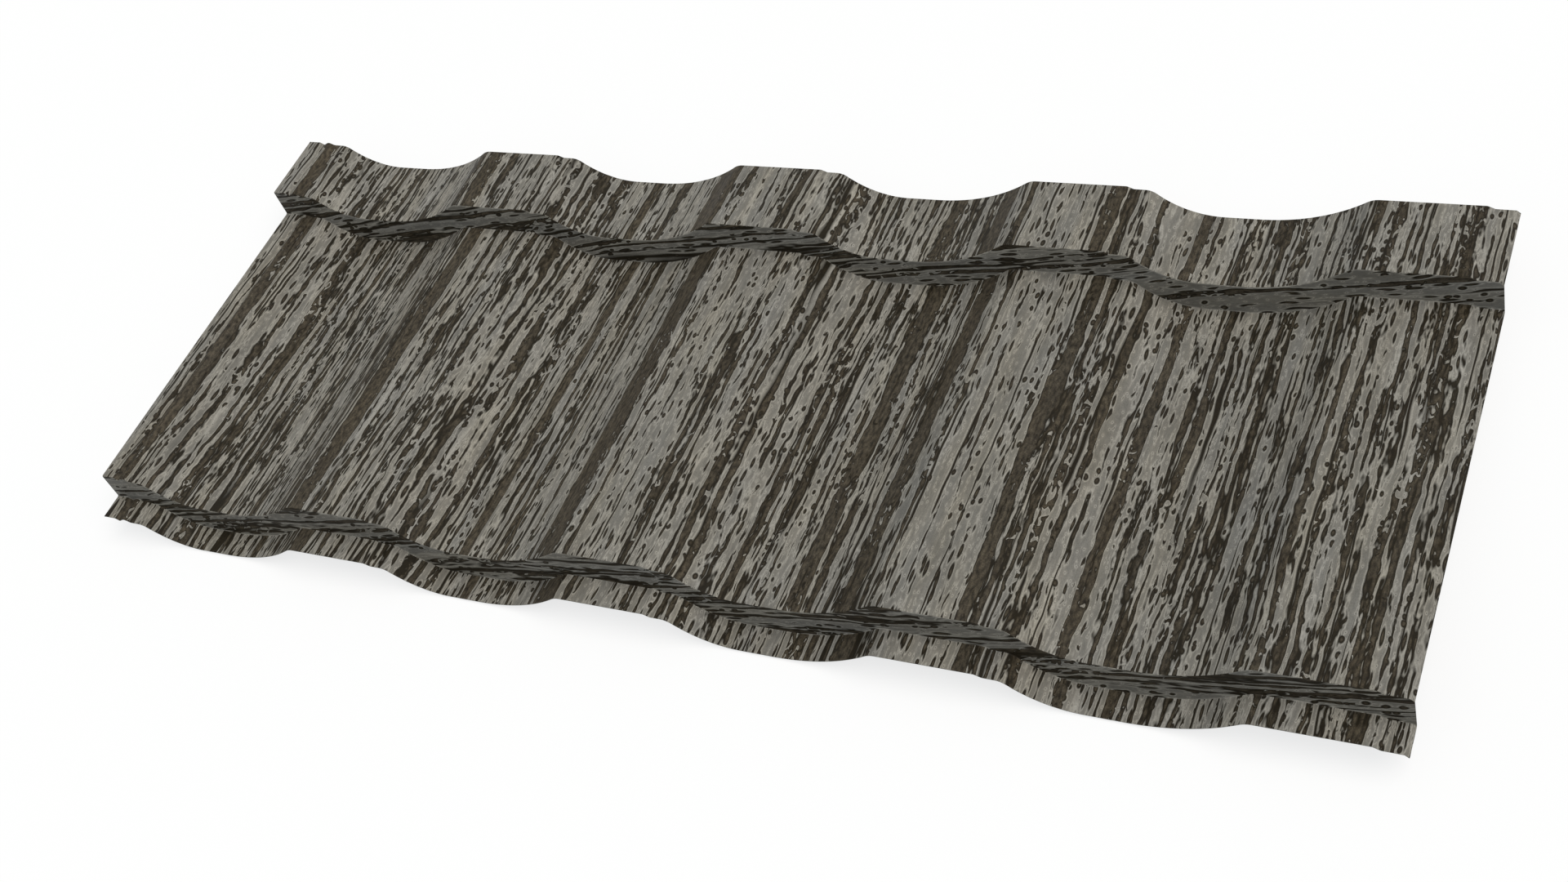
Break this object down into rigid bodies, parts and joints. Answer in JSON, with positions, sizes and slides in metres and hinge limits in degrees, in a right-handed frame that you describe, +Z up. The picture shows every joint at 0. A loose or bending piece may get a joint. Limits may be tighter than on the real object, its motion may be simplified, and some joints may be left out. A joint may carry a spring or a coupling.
{
  "type": "metal roof tile sheet",
  "caption": "Thin pressed steel roof sheet shaped like laid tiles: flat-topped waves run down it, low steps cross it, and its face is printed like weathered wood.",
  "frame": {"origin": "on the floor under the middle of the sheet as it lies, at the bottom centre of its box", "axes": "+X across the waves, from the edge that goes under the next sheet to the edge that goes over it; +Y from the front edge up the fall to the back edge; +Z up"},
  "size_m": [1.2004, 0.457, 0.0596],
  "materials": {
    "printed_steel": "matte printed wood grain on pressed steel, plain grey back coat"
  },
  "bodies": {
    "root": {"tile_sheet": "printed_steel"}
  },
  "joints": []
}
